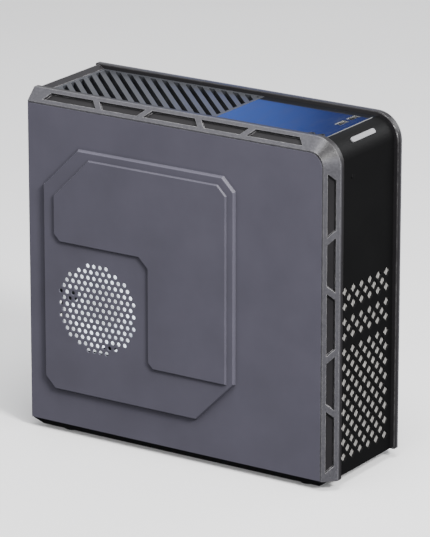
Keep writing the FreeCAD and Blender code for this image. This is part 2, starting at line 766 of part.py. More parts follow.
def top_sockets():
    """Board, USB shells and audio jacks under the top plate."""
    z_board = COVER_Z - size("cover_thick") - 11
    u = USB_PLACES[0][1]
    board = Part.makeBox(72, 19, 1.6, Vector(-36, REAR_Y - u - 9.3, z_board))
    keep(shaped("socket_board", board), "top_socket_board")
    shells = []
    for x, u in USB_PLACES:
        outer = Part.makeBox(13.2, 5.8, 11.2, Vector(x - 6.6, REAR_Y - u - 2.9, z_board + 1.6))
        inner = Part.makeBox(12.2, 4.8, 12, Vector(x - 6.1, REAR_Y - u - 2.4, z_board + 2.4))
        tongue = Part.makeBox(11, 1.8, 9, Vector(x - 5.5, REAR_Y - u - 2.1, z_board + 2.4))
        shells.append(outer.cut(inner).fuse(tongue))
    keep(shaped("usb_shells", Part.makeCompound(shells)), "top_usb_sockets")
    jacks = []
    for x, u in JACK_PLACES:
        body = Part.makeBox(8, 8, 9, Vector(x - 4, REAR_Y - u - 4, z_board + 1.6))
        collar = Part.makeCylinder(2.9, 4.4, Vector(x, REAR_Y - u, z_board + 8.6), Vector(0, 0, 1))
        bore = Part.makeCylinder(1.8, 12, Vector(x, REAR_Y - u, z_board + 3), Vector(0, 0, 1))
        jacks.append(body.fuse(collar).cut(bore))
    keep(shaped("audio_jacks", Part.makeCompound(jacks)), "top_audio_jacks")


# ---------------------------------------------------------------- mainboard

def board_point(from_rear_edge, from_low_edge):
    """Expressions for y and z of a place on the mainboard."""
    y = f"{REAR} - board_rear - ({from_rear_edge})"
    z = f"foot_height + board_low + ({from_low_edge})"
    return y, z


def on_board(name, rear_low, rear_high, low, high, tall):
    """A box that stands on the mainboard and rises towards -x."""
    y_high, z_low = board_point(rear_low, low)
    y_low, z_high = board_point(rear_high, high)
    return block(name, (f"board_x - ({tall})", y_low, z_low), ("board_x", y_high, z_high))


CORNERS = [(0, 0), (0, 1), (1, 0), (1, 1)]


def corner_place(across, up):
    """Centre of a mainboard fixing hole."""
    rear = "standoff_edge" if not across else "board_side - standoff_edge"
    low = "standoff_edge" if not up else "board_side - standoff_edge"
    return board_point(rear, low)


def mainboard():
    y_high, z_low = board_point("0", "0")
    y_low, z_high = board_point("board_side", "board_side")
    plate = block("board_plate", ("board_x", y_low, z_low), ("board_x + board_thick", y_high, z_high))
    holes = []
    for i, place in enumerate(CORNERS):
        y, z = corner_place(*place)
        holes.append(rod(f"board_hole_{i}", ("board_x - 5", y, z), "x", "1.3 * screw_radius", "10"))
    keep(cut("board_drilled", plate, holes), "mainboard")
    standoffs, screws = [], []
    for i, place in enumerate(CORNERS):
        y, z = corner_place(*place)
        post = doc.addObject("Part::Prism", f"standoff_{i}")
        post.Polygon = 6
        post.Placement = Placement(Vector(), TURNS["x"])
        post.setExpression("Circumradius", bound("standoff_radius"))
        post.setExpression("Height", bound("tray_x - board_x - board_thick"))
        for letter, value in zip("xyz", ("board_x + board_thick", y, z)):
            post.setExpression(f"Placement.Base.{letter}", bound(value))
        bore = rod(f"standoff_bore_{i}", ("board_x", y, z), "x", "screw_radius", "6")
        standoffs.append(cut(f"standoff_drilled_{i}", post, [bore]))
        shank = rod(f"board_shank_{i}", ("board_x - 1", y, z), "x", "screw_radius", "6")
        head = rod(f"board_head_{i}", ("board_x - 2", y, z), "x", "2 * screw_radius", "2")
        screws.append(fuse(f"board_screw_{i}", [shank, head]))
    keep(group("standoffs", standoffs), "board_standoffs")
    keep(group("board_screws_group", screws), "board_screws")


def board_fittings():
    keep(on_board("socket_block", 43, 84, 73, 115, 6), "processor_socket")
    keep(on_board("expansion_block", 20, 109, 6, 13.5, 11), "expansion_connector")
    slots = [on_board(f"memory_slot_{i}", 126 + 9 * i, 132 + 9 * i, 20, 160, 8) for i in range(2)]
    keep(group("memory_slots_group", slots), "memory_slots")
    modules = []
    for i in range(2):
        y_high, z_low = board_point(128.4 + 9 * i, 23.5)
        y_low, z_high = board_point(129.6 + 9 * i, 156.5)
        low, high = ("board_x - 38", y_low, z_low), ("board_x - 8", y_high, z_high)
        modules.append(block(f"memory_stick_{i}", low, high))
    keep(group("memory_group", modules), "memory_modules")
    connectors = [
        on_board("power_header", 150, 160, 96, 148, 12),
        on_board("sata_header", 152, 160, 56, 84, 9),
        on_board("panel_header", 152, 158, 10, 34, 8),
    ]
    keep(group("headers", connectors), "board_connectors")


def finned(name, rear_low, rear_high, low, high, base, tall, fins):
    """A heat sink: a base with fins that run along the board's height."""
    parts = [on_board(f"{name}_base", rear_low, rear_high, low, high, base)]
    step = (rear_high - rear_low - 1.5) / (fins - 1)
    for i in range(fins):
        start = rear_low + i * step
        parts.append(on_board(f"{name}_fin_{i}", start, start + 1.5, low, high, tall))
    return fuse(name, parts)


def heat_sinks():
    sinks = [
        finned("chip_sink", 70, 100, 24, 54, 3, 9, 7),
        finned("regulator_sink", 40, 100, 144, 160, 3, 14, 13),
    ]
    keep(group("small_sinks", sinks), "board_heatsinks")


def cooler_heatsink():
    """A base on the processor, a neck and a stack of fins under the fan."""
    y, z = cooler_centre()
    half = "sink_side / 2"
    foot = block(
        "sink_foot",
        ("board_x - 6 - sink_base", f"{y} - 20", f"{z} - 20"),
        ("board_x - 6", f"{y} + 20", f"{z} + 20"),
    )
    parts = [foot]
    for i in range(4):
        offset = f"({i} - 1.5) * 11"
        parts.append(rod(f"heat_pipe_{i}", ("cooler_fan_x + 2", f"{y} + {offset}", z), "x", "3",
                         "board_x - 10 - cooler_fan_x"))
    count = 11
    for i in range(count):
        x = f"cooler_fan_x + 2 + {i} * fin_pitch"
        parts.append(block(
            f"sink_fin_{i}",
            (x, f"{y} - {half}", f"{z} - {half}"),
            (f"{x} + fin_thick", f"{y} + {half}", f"{z} + {half}"),
        ))
    keep(fuse("sink_stack", parts), "cooler_heatsink")


def cooler_centre():
    return f"{REAR} - vent_from_rear", "foot_height + vent_height"


# ---------------------------------------------------------------- fans

def quarter_turned(shape, turns):
    """A shape turned about z to one of the four diagonals."""
    return shape.rotated(Vector(), Vector(0, 0, 1), 45 + 90 * turns)


def fan_frame_shape(side, deep, bore, hub):
    """A square frame with a round bore, four struts and a bearing tube; air axis +z from z = 0."""
    outer = Part.makeBox(side, side, deep, Vector(-side / 2, -side / 2, 0))
    tools = [Part.makeCylinder(bore, deep)]
    pitch = side / 2 - 4.25
    for sx in (-1, 1):
        for sy in (-1, 1):
            tools.append(Part.makeCylinder(2.15, deep, Vector(sx * pitch, sy * pitch, 0)))
    waist = deep - 8
    for sx in (-1, 1):
        edge, near = sx * (side / 2 - 1.2) - 1.2, -(side - 30) / 2
        tools.append(Part.makeBox(2.4, side - 30, waist, Vector(edge, near, 4)))
        tools.append(Part.makeBox(side - 30, 2.4, waist, Vector(near, edge, 4)))
    frame = outer.cut(tools)
    struts = [
        quarter_turned(Part.makeBox(bore + 1, 3, 2.4, Vector(hub - 2, -1.5, 0)), i)
        for i in range(4)
    ]
    plate = Part.makeCylinder(hub, 2.4)
    tube = Part.makeCylinder(3.2, deep * 0.55)
    bearing = Part.makeCylinder(size("shaft_radius") + size("shaft_fit"), deep, Vector(0, 0, 1.2))
    ring = Part.makeCylinder(bore + 0.5, 2.4)
    struts = [strut.common(ring) for strut in struts]
    return frame.fuse(struts + [plate, tube]).cut(bearing).removeSplitter()


def fan_rotor_shape(deep, bore, hub, blades):
    """A cupped hub on a shaft with pitched blades; air axis +z."""
    low, high = 3.4, deep - 0.8
    cup = Part.makeCylinder(hub, high - low, Vector(0, 0, low))
    cup = cup.cut(Part.makeCylinder(hub - 1.8, high - low - 1.8, Vector(0, 0, low)))
    shaft = Part.makeCylinder(size("shaft_radius"), high - 2.0, Vector(0, 0, 1.6))
    limit = Part.makeCylinder(bore - size("fan_gap"), deep).cut(Part.makeCylinder(hub - 0.9, deep))
    chord = (high - low) / math.sin(math.radians(42)) - 2.5
    parts = [shaft]
    for i in range(blades):
        thick = size("blade_thick")
        blade = Part.makeBox(bore, chord, thick, Vector(0, -chord / 2, -thick / 2))
        blade = blade.rotated(Vector(), Vector(1, 0, 0), 42).translated(Vector(0, 0, (low + high) / 2))
        blade = blade.rotated(Vector(), Vector(0, 0, 1), 360 * i / blades)
        window = Part.makeCylinder(bore, high - low, Vector(0, 0, low))
        parts.append(blade.common(limit).common(window))
    return cup.fuse(parts).removeSplitter()


def fans():
    side, deep, bore, hub = size("fan_side"), size("fan_deep"), size("fan_bore"), size("fan_hub")
    centre_z = BASE_Z + size("vent_height")
    cooler = Placement(
        Vector(size("cooler_fan_x"), REAR_Y - size("vent_from_rear"), centre_z),
        Rotation(Vector(0, 1, 0), -90),
    )
    intake_y = FRONT_Y + size("wall_front") + size("sheet_thick") + deep
    intake = Placement(
        Vector(0, intake_y, BASE_Z + size("lattice_low") + side),
        Rotation(Vector(1, 0, 0), 90),
    )
    shallow = size("supply_fan_deep")
    supply_top = BASE_Z + size("supply_low") + size("supply_height") - size("supply_shell")
    supply_y = supply_box()[3] - size("supply_depth") * 0.52
    supply = Placement(Vector(0, supply_y, supply_top - shallow), Rotation())
    rows = [("cooler_fan", cooler, deep), ("intake_fan", intake, deep), ("supply_fan", supply, shallow)]
    for name, place, depth in rows:
        keep(shaped(f"{name}_housing", fan_frame_shape(side, depth, bore, hub), place), f"{name}_frame")
        keep(shaped(f"{name}_wheel", fan_rotor_shape(depth, bore, hub, 7), place), f"{name}_rotor")
    keep(shaped("guard_wires", guard_shape(shallow + 1), supply), "supply_fan_guard")


def guard_shape(low):
    """Concentric wires joined by four spokes, lying on the power supply's lid."""
    wire = 1.4
    level = Vector(0, 0, low)
    rings = [
        Part.makeCylinder(radius + wire / 2, wire, level)
        .cut(Part.makeCylinder(radius - wire / 2, wire, level))
        for radius in (10, 18, 26, 34)
    ]
    spokes = [
        quarter_turned(Part.makeBox(29, wire, wire, Vector(10, -wire / 2, low)), i)
        for i in range(4)
    ]
    return rings[0].fuse(rings[1:] + spokes).removeSplitter()


# ---------------------------------------------------------------- rear sockets

def io_shield():
    """The plate round the rear sockets, with an opening for each."""
    y = REAR_Y - size("wall_inset") + 0.2
    x_high = size("board_x") + 3.5 - GAP
    x_low = size("board_x") - 41 + GAP
    low, high = BASE_Z + 23 + GAP, BASE_Z + 182 - GAP
    frame = upright(x_low, x_high, low, high, y)
    openings = [
        polygon([Vector(a, y, c), Vector(b, y, c), Vector(b, y, d), Vector(a, y, d)])
        for a, b, c, d in [grown(port) for port in rear_port_boxes()]
    ]
    openings += [
        Part.Wire(Part.Circle(Vector(x, y, z), Vector(0, 1, 0), 3.9).toShape())
        for x, z in rear_jack_centres()
    ]
    shape = Part.makeFace([frame] + openings, "Part::FaceMakerBullseye").extrude(Vector(0, 0.5, 0))
    keep(shaped("shield_plate", shape), "io_shield")


PORTS = {
    "rear_usb_stack_upper": (134, 15, 17), "rear_usb_stack_lower": (116, 15, 17),
    "rear_network_socket": (95, 16, 14), "rear_display_socket": (74, 16, 7),
}


def rear_port_boxes():
    """Low x, high x, low z and high z of each rectangular rear socket."""
    board_low = BASE_Z + size("board_low")
    surface = size("board_x")
    return [
        (surface - tall, surface, board_low + z, board_low + z + wide)
        for z, wide, tall in PORTS.values()
    ]


def grown(box, by=0.3):
    a, b, c, d = box
    return a - by, b + by, c - by, d + by


def rear_jack_centres():
    board_low = BASE_Z + size("board_low")
    return [(size("board_x") - 6.5, board_low + 34 + 13 * i) for i in range(3)]


def rear_sockets():
    y_mouth = REAR_Y - 1.2
    y_back = REAR_Y - size("board_rear") - 18
    usb_stacks = []
    for name, (a, b, c, d) in zip(PORTS, rear_port_boxes()):
        shell = Part.makeBox(b - a, y_mouth - y_back, d - c, Vector(a, y_back, c))
        if "usb" in name:
            cavities = [
                Part.makeBox(5.2, 14, d - c - 2, Vector(a + 1 + 9 * i, y_mouth - 14, c + 1)) for i in range(2)
            ]
            tongues = [
                Part.makeBox(1.8, 12, d - c - 4, Vector(a + 3.8 + 9 * i, y_mouth - 14, c + 2))
                for i in range(2)
            ]
            usb_stacks.append(shell.cut(cavities).fuse(tongues))
            continue
        if "network" in name:
            shape = shell.cut(Part.makeBox(8.4, 13, 12, Vector(a + 2.4, y_mouth - 13, c + 2)))
        else:
            cavity = Part.makeBox(4.6, 12, 14.4, Vector(a + 1.2, y_mouth - 12, c + 0.8))
            tongue = Part.makeBox(1.2, 10, 11, Vector(a + 2.9, y_mouth - 12, c + 2.5))
            shape = shell.cut(cavity).fuse(tongue)
        keep(shaped(name + "_body", shape), name)
    keep(shaped("rear_usb_stacks", Part.makeCompound(usb_stacks)), "rear_usb_sockets")
    jacks = []
    for x, z in rear_jack_centres():
        body = Part.makeBox(12, 14, 11, Vector(x - 5.5, y_back + 3, z - 5.5))
        long = y_mouth - y_back - 17 + 1.2
        collar = Part.makeCylinder(3.5, long, Vector(x, y_back + 17, z), Vector(0, 1, 0))
        bore = Part.makeCylinder(1.8, 14, Vector(x, y_mouth + 1.2 - 14, z), Vector(0, 1, 0))
        jacks.append(body.fuse(collar).cut(bore))
    keep(shaped("rear_jacks", Part.makeCompound(jacks)), "rear_audio_jacks")


def slot_cover():
    y = f"{REAR} - wall_inset + wall_thick"
    low, high = "foot_height + 3.5", "foot_height + 19.5"
    plate = block("cover_plate", ("board_x - 82", y, low), ("board_x + 5.9", f"{y} + 0.8", high))
    start = ("board_x + 3", f"{REAR} - edge_flange", SLOT_SCREW_Z)
    hole = rod("cover_hole", start, "y", "1.5", "2 * edge_flange")
    keep(cut("cover_drilled", plate, [hole]), "slot_cover")
    shank = rod("cover_shank", ("board_x + 3", f"{y} - 3", SLOT_SCREW_Z), "y", "1.4", "4")
    head = rod("cover_head", ("board_x + 3", f"{y} + 0.8", SLOT_SCREW_Z), "y", "2.6", "1.2")
    keep(fuse("cover_screw_body", [shank, head]), "slot_cover_screw")


# ---------------------------------------------------------------- power supply

def supply_box():
    """Numbers of the power supply's outer box."""
    y_high = REAR_Y - size("wall_inset") - GAP
    return -size("supply_width") / 2, y_high - size("supply_depth"), BASE_Z + size("supply_low"), y_high


INLET_X, SWITCH_X = 12, -24


def power_supply():
    width, tall = size("supply_width"), size("supply_height")
    depth, shell = size("supply_depth"), size("supply_shell")
    x, y, z, y_high = supply_box()
    outer = Part.makeBox(width, depth, tall, Vector(x, y, z))
    inner = Part.makeBox(
        width - 2 * shell, depth - 2 * shell, tall - 2 * shell, Vector(x + shell, y + shell, z + shell)
    )
    fan_y = y_high - depth * 0.52
    mid = z + tall / 2
    tools = [
        inner,
        Part.makeCylinder(36, 10, Vector(0, fan_y, z + tall - 5), Vector(0, 0, 1)),
        Part.makeBox(27.6, 10, 20.6, Vector(INLET_X - 13.8, y_high - 5, mid - 10.3)),
        Part.makeBox(13.6, 10, 19.6, Vector(SWITCH_X - 6.8, y_high - 5, mid - 9.8)),
        Part.makeCylinder(7, 10, Vector(15, y - 5, z + 16), Vector(0, 1, 0)),
    ]
    keep(shaped("supply_shell_body", outer.cut(tools)), "power_supply_case")
    board = Part.makeBox(width - 8, depth - 30, 1.6, Vector(x + 4, y + 8, z + 6))
    parts = [
        Part.makeBox(30, 28, 24, Vector(-15, y + 90, z + 7.6)),
        Part.makeBox(4, 60, 26, Vector(26, y + 40, z + 7.6)),
        Part.makeCylinder(9, 26, Vector(-27, y + 110, z + 7.6)),
        Part.makeCylinder(6, 20, Vector(-24, y + 60, z + 7.6)),
        Part.makeCylinder(6, 20, Vector(-8, y + 50, z + 7.6)),
    ]
    keep(shaped("supply_pcb", board.fuse(parts)), "supply_circuit_board")
    inlet_socket(y_high, mid)
    supply_switch(y_high, mid)


def inlet_socket(y_wall, mid):
    """The mains inlet: a flange outside the wall, a recess and three blades."""
    flange = Part.makeBox(30, 2, 23, Vector(INLET_X - 15, y_wall, mid - 11.5))
    body = Part.makeBox(27, 20, 20, Vector(INLET_X - 13.5, y_wall - 18.5, mid - 10))
    recess = Part.makeBox(23, 17, 16, Vector(INLET_X - 11.5, y_wall - 14.5, mid - 8))
    keep(shaped("inlet_body", flange.fuse(body).cut(recess)), "mains_inlet")
    blades = [
        Part.makeBox(2, 9, 5, Vector(INLET_X - 1 + dx, y_wall - 14.5, mid - 2.5 + dz))
        for dx, dz in ((-7, -1.5), (7, -1.5), (0, 2))
    ]
    keep(shaped("inlet_pins", Part.makeCompound(blades)), "mains_inlet_blades")


ROCKER_TILT = 11


def supply_switch(y_wall, mid):
    """A rocker in its frame; the rocker turns about the x axis."""
    flange = Part.makeBox(16, 2, 22, Vector(SWITCH_X - 8, y_wall, mid - 11))
    body = Part.makeBox(13, 16, 19, Vector(SWITCH_X - 6.5, y_wall - 14.5, mid - 9.5))
    recess = Part.makeBox(10.6, 12.5, 17, Vector(SWITCH_X - 5.3, y_wall - 10.5, mid - 8.5))
    pivot = Vector(SWITCH_X - 5, y_wall - 3.5, mid)
    along = Vector(1, 0, 0)
    bearing = Part.makeCylinder(1 + size("shaft_fit"), 14, pivot - along * 2, along)
    keep(shaped("rocker_frame", flange.fuse(body).cut([recess, bearing])), "supply_switch_frame")
    corners = [(5.2, -7.2), (3.6, 0), (5.2, 7.2), (1, 7.2), (-3, 2.6), (-3, -2.6), (1, -7.2)]
    profile = polygon([pivot + Vector(0, out, up) for out, up in corners])
    pins = Part.makeCylinder(1, 12.4, pivot - along * 1.2, along)
    rocker = Part.Face(profile).extrude(along * 10).fuse(pins)
    rocker = rocker.rotated(pivot, Vector(1, 0, 0), ROCKER_TILT)
    keep(shaped("rocker_body", rocker), "supply_switch_rocker")


# ---------------------------------------------------------------- storage drive

def storage_drive():
    z = "foot_height + drive_low"
    y_high = f"{REAR} - board_rear - board_side - drive_setback"
    x = "board_x - 2"
    y_low, top = f"{y_high} - drive_wide", f"{z} + drive_long"
    case = block("drive_box", (f"{x} - drive_thick", y_low, z), (x, y_high, top))
    keep(case, "storage_drive")
    plate = block("bracket_plate", (x, y_low, z), (f"{x} + sheet_thick", y_high, top))
    legs = [
        block(f"bracket_leg_{i}", (x, start, z), ("tray_x", f"{start} + sheet_thick", f"{z} + drive_long"))
        for i, start in enumerate([f"{y_high} - drive_wide", f"{y_high} - sheet_thick"])
    ]
    keep(fuse("bracket_body", [plate] + legs), "drive_bracket")


# ---------------------------------------------------------------- inner leads

def lead(points, radius):
    """A round lead along straight runs joined by tangent arcs."""
    corners = [Vector(*point) for point in points]
    edges = []
    start = corners[0]
    for before, corner, after in zip(corners, corners[1:], corners[2:]):
        back, forth = (before - corner), (after - corner)
        reach = 0.45 * min(back.Length, forth.Length)
        back.normalize()
        forth.normalize()
        first, last = corner + back * reach, corner + forth * reach
        bisector = back + forth
        bisector.normalize()
        half_turn = back.getAngle(forth) / 2
        middle = corner + bisector * (reach / math.cos(half_turn) - reach * math.tan(half_turn))
        edges.append(Part.LineSegment(start, first).toShape())
        edges.append(Part.Arc(first, middle, last).toShape())
        start = last
    edges.append(Part.LineSegment(start, corners[-1]).toShape())
    path = Part.Wire(edges)
    direction = corners[1] - corners[0]
    profile = Part.Wire(Part.Circle(corners[0], direction, radius).toShape())
    return path.makePipeShell([profile], True, False)


def inner_leads():
    x, y, z, y_high = supply_box()
    face = size("board_x")
    board_rear = REAR_Y - size("board_rear")
    board_low = BASE_Z + size("board_low")
    header_y = board_rear - 155
    route = [
        (15, y, z + 16), (15, y - 24, z + 16), (12, y - 30, z - 12), (6, header_y - 16, board_low + 130),
        (4, header_y, board_low + 122), (face - 12, header_y, board_low + 122),
    ]
    keep(shaped("power_lead", lead(route, 4.5)), "board_power_lead")
    drive_rear = REAR_Y - size("board_rear") - size("board_side") - size("drive_setback")
    drive_y = drive_rear - size("drive_wide") / 2
    drive_z = BASE_Z + size("drive_low")
    route = [
        (face - 5.5, drive_y, drive_z), (face - 5.5, drive_y, drive_z - 22), (24, drive_y + 6, drive_z - 44),
        (16, header_y - 6, board_low + 72), (20, header_y - 1, board_low + 70),
        (face - 9, header_y - 1, board_low + 70),
    ]
    keep(shaped("drive_lead", lead(route, 2.2)), "drive_data_lead")


base_plinth()
rubber_feet()
base_pan()
rear_panel()
board_tray()
front_wall()
top_bars()
side_panels()
panel_screws()
trim_rails()
front_bezel()
intake_screen()
top_grille()
top_plate()
rear_top_trim()
power_button()
reset_parts()
top_sockets()
mainboard()
board_fittings()
heat_sinks()
cooler_heatsink()
fans()
io_shield()
rear_sockets()
slot_cover()
power_supply()
storage_drive()
inner_leads()

doc.recompute()
for item in doc.Objects:
    if "Invalid" in item.State or "Error" in item.State:
        raise RuntimeError(f"{item.Name} failed: {item.State}")
os.makedirs("parts", exist_ok=True)
for item in sub_parts:
    if item.Shape.isNull() or not item.Shape.isValid() or not item.Shape.Solids:
        raise RuntimeError(f"{item.Label} has no valid shape")
    item.Shape.exportStep(f"parts/{item.Label}.step")
print(len(sub_parts), "sub-parts")
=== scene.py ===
import json
import math
import random

import bmesh
import bpy
from mathutils import Matrix, Vector


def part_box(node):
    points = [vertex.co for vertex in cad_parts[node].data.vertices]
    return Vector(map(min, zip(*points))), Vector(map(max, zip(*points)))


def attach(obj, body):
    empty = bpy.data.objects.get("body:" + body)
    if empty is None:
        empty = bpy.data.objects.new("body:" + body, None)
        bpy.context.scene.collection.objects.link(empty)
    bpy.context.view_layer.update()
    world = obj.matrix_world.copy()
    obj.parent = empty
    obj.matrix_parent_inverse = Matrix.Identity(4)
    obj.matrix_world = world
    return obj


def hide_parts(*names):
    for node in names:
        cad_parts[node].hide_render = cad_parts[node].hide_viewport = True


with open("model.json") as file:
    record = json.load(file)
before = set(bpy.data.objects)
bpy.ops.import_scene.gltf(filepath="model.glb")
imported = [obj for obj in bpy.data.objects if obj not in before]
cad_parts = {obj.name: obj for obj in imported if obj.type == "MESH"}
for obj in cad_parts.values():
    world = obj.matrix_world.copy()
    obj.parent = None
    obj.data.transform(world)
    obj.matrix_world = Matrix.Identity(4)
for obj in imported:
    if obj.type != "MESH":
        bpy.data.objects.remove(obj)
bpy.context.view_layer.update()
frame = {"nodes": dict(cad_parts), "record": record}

MM = 0.001
NODES = frame["nodes"]
SLOT_OF = {row["node"]: row["material_slot"] for row in frame["record"]["subparts"]}

# Sockets of a colour Mix node, which has the same names for its other data types.
MIX_FIRST, MIX_SECOND, MIX_RESULT = 6, 7, 2

# The rails' 45 degree face starts this far in from the corner of their box.
RAIL_CHAMFER = 0.0093


# ---------------------------------------------------------------- materials

class Maker:
    """One node material: a Principled shader with rounded edges, fine bump, mottling, edge wear and painted
    shade in creases and recesses.
    """

    def __init__(self, name, color, rough, metallic=0.0, specular=0.5, coat=0.0, coat_rough=0.1):
        self.material = bpy.data.materials.new(name)
        self.material.use_nodes = True
        self.material.diffuse_color = (*color, 1)
        self.tree = self.material.node_tree
        self.shader = self.tree.nodes["Principled BSDF"]
        self.color = color
        self.rough = rough
        self.put("Base Color", (*color, 1))
        self.put("Roughness", rough)
        self.put("Metallic", metallic)
        self.put("Specular IOR Level", specular)
        self.put("Coat Weight", coat)
        self.put("Coat Roughness", coat_rough)
        self.place = self.node("ShaderNodeTexCoord").outputs["Object"]
        self.normal = None

    def put(self, socket, value):
        self.shader.inputs[socket].default_value = value

    def node(self, kind, **values):
        made = self.tree.nodes.new(kind)
        for key, value in values.items():
            setattr(made, key, value)
        return made

    def link(self, start, end):
        self.tree.links.new(start, end)

    def stretched(self, scale):
        mapping = self.node("ShaderNodeMapping")
        mapping.inputs["Scale"].default_value = scale
        self.link(self.place, mapping.inputs["Vector"])
        return mapping.outputs["Vector"]

    def noise(self, scale, detail=3.0, stretch=None, roughness=0.55):
        made = self.node("ShaderNodeTexNoise")
        made.inputs["Scale"].default_value = scale
        made.inputs["Detail"].default_value = detail
        made.inputs["Roughness"].default_value = roughness
        self.link(self.stretched(stretch) if stretch else self.place, made.inputs["Vector"])
        return made.outputs["Fac"]

    def remap(self, source, from_low, from_high, to_low, to_high):
        made = self.node("ShaderNodeMapRange")
        limits = {"From Min": from_low, "From Max": from_high, "To Min": to_low, "To Max": to_high}
        for key, value in limits.items():
            made.inputs[key].default_value = value
        self.link(source, made.inputs["Value"])
        return made.outputs["Result"]

    def mix(self, factor, first, second):
        """A colour between two, each a colour or a socket."""
        made = self.node("ShaderNodeMix", data_type="RGBA")
        self.link(factor, made.inputs["Factor"])
        for index, value in ((MIX_FIRST, first), (MIX_SECOND, second)):
            if isinstance(value, tuple):
                made.inputs[index].default_value = (*value, 1)
            else:
                self.link(value, made.inputs[index])
        return made.outputs[MIX_RESULT]

    def maths(self, operation, first, second=None):
        made = self.node("ShaderNodeMath", operation=operation)
        for index, value in enumerate((first, second)):
            if isinstance(value, (int, float)):
                made.inputs[index].default_value = value
            elif value is not None:
                self.link(value, made.inputs[index])
        return made.outputs[0]

    def round_edges(self, radius):
        made = self.node("ShaderNodeBevel", samples=4)
        made.inputs["Radius"].default_value = radius
        self.normal = made.outputs["Normal"]
        return self

    def bump(self, height, strength, distance):
        made = self.node("ShaderNodeBump")
        made.inputs["Strength"].default_value = strength
        made.inputs["Distance"].default_value = distance
        self.link(height, made.inputs["Height"])
        if self.normal is not None:
            self.link(self.normal, made.inputs["Normal"])
        self.normal = made.outputs["Normal"]
        return self

    def edge_mask(self, radius):
        """1 on the edges of the shape, 0 on its flats."""
        bevel = self.node("ShaderNodeBevel", samples=4)
        bevel.inputs["Radius"].default_value = radius
        geometry = self.node("ShaderNodeNewGeometry")
        dot = self.node("ShaderNodeVectorMath", operation="DOT_PRODUCT")
        self.link(bevel.outputs["Normal"], dot.inputs[0])
        self.link(geometry.outputs["Normal"], dot.inputs[1])
        mask = self.remap(dot.outputs["Value"], 0.995, 0.80, 0.0, 1.0)
        patchy = self.remap(self.noise(220, 4), 0.30, 0.62, 0.15, 1.0)
        return self.maths("MULTIPLY", mask, patchy)

    def crease_shade_mask(self, reach):
        """1 in the open, towards 0 in the inner corners of the shape, where shade is painted into the colour.
        """
        made = self.node("ShaderNodeAmbientOcclusion", samples=8, only_local=True)
        made.inputs["Distance"].default_value = reach
        return self.remap(made.outputs["AO"], 0.25, 0.95, 0.0, 1.0)

    def depth_below(self, plane_offsets):
        """Depth in metres below the nearest of the rail's chamfer planes, at 45 degrees to the axes."""
        axes = self.node("ShaderNodeSeparateXYZ")
        self.link(self.place, axes.inputs["Vector"])
        outward = self.maths("ABSOLUTE", axes.outputs["X"])
        top = self.maths("ADD", outward, axes.outputs["Z"])
        front = self.maths("SUBTRACT", outward, axes.outputs["Y"])
        depths = [
            self.maths("MULTIPLY", self.maths("SUBTRACT", offset, run), math.sqrt(0.5))
            for offset, run in zip(plane_offsets, (top, front))
        ]
        return self.maths("MINIMUM", *depths)

    def finish(
        self, mottling=0.0, mottle_scale=30, wear=None, wear_radius=0.0006, wear_amount=0.7,
        rough_swing=0.0, base=None, crease_shade=None, shade_mask=None, shade=None,
    ):
        """Join colour, roughness and normal to the shader. A base colour takes the mottling's place."""
        result = base
        if mottling and base is None:
            dark = tuple(c * (1 - mottling) for c in self.color)
            light = tuple(min(1.0, c * (1 + mottling)) for c in self.color)
            patches = self.remap(self.noise(mottle_scale, 5), 0.32, 0.68, 0, 1)
            result = self.mix(patches, dark, light)
        # Painted shade: the inner corners are darkened towards the given dark colour.
        if crease_shade is not None:
            reach, dark = crease_shade
            result = self.mix(self.crease_shade_mask(reach), dark, result if result is not None else self.color)
        # Painted shade: where the shade mask is 1, the colour goes to the shade colour.
        if shade_mask is not None:
            result = self.mix(shade_mask, result, shade)
        if wear is not None:
            mask = self.maths("MULTIPLY", self.edge_mask(wear_radius), wear_amount)
            result = self.mix(mask, result if result is not None else self.color, wear)
        if result is not None:
            self.link(result, self.shader.inputs["Base Color"])
        if rough_swing:
            low, high = self.rough - rough_swing, self.rough + rough_swing
            swing = self.remap(self.noise(18, 6), 0.3, 0.7, low, high)
            self.link(swing, self.shader.inputs["Roughness"])
        if self.normal is not None:
            self.link(self.normal, self.shader.inputs["Normal"])
        return self.material


def powder_paint(name, color, rough, wear, crease_shade=None):
    """Sprayed steel: fine orange peel, lighter worn edges, and painted shade in the inner corners when a
    crease shade is given.
    """
    maker = Maker(name, color, rough, specular=0.35).round_edges(0.0005)
    maker.bump(maker.noise(1500, 3), 0.25, 0.00012)
    maker.bump(maker.noise(95, 2), 0.05, 0.0006)
    return maker.finish(mottling=0.06, wear=wear, rough_swing=0.07, crease_shade=crease_shade)


def trim_paint():
    """Textured paint of the rails, with painted shade darkening the floors of their sunk windows."""
    low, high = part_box("left_trim_rail")
    planes = (abs(low.x) + high.z - RAIL_CHAMFER, abs(low.x) - low.y - RAIL_CHAMFER)
    color = (0.070, 0.069, 0.078)
    maker = Maker("trim_paint", color, 0.34, specular=0.5).round_edges(0.0006)
    maker.bump(maker.noise(900, 4), 0.55, 0.00016)
    # Painted shade: window floors more than about 1 to 2 mm below the chamfer planes are painted darker.
    mask = maker.remap(maker.depth_below(planes), 0.0009, 0.0019, 0.0, 1.0)
    return maker.finish(
        # The light edge colour is partly wear and partly a painted highlight along the rails' lips.
        mottling=0.20, mottle_scale=620, wear=(0.46, 0.45, 0.46), wear_radius=0.0008, wear_amount=0.85,
        rough_swing=0.08, shade_mask=mask, shade=(0.016, 0.0150, 0.0165),
        # Painted shade in the rails' inner corners.
        crease_shade=(0.003, (0.012, 0.012, 0.014)),
    )


def moulded(name, color, rough, grain=2600, strength=0.3, wear=None, specular=0.4):
    """Moulded plastic with a spark-eroded grain."""
    maker = Maker(name, color, rough, specular=specular).round_edges(0.0004)
    cells = maker.node("ShaderNodeTexVoronoi")
    cells.inputs["Scale"].default_value = grain
    maker.link(maker.place, cells.inputs["Vector"])
    maker.bump(cells.outputs["Distance"], strength, 0.00006)
    return maker.finish(mottling=0.08, wear=wear, rough_swing=0.06)


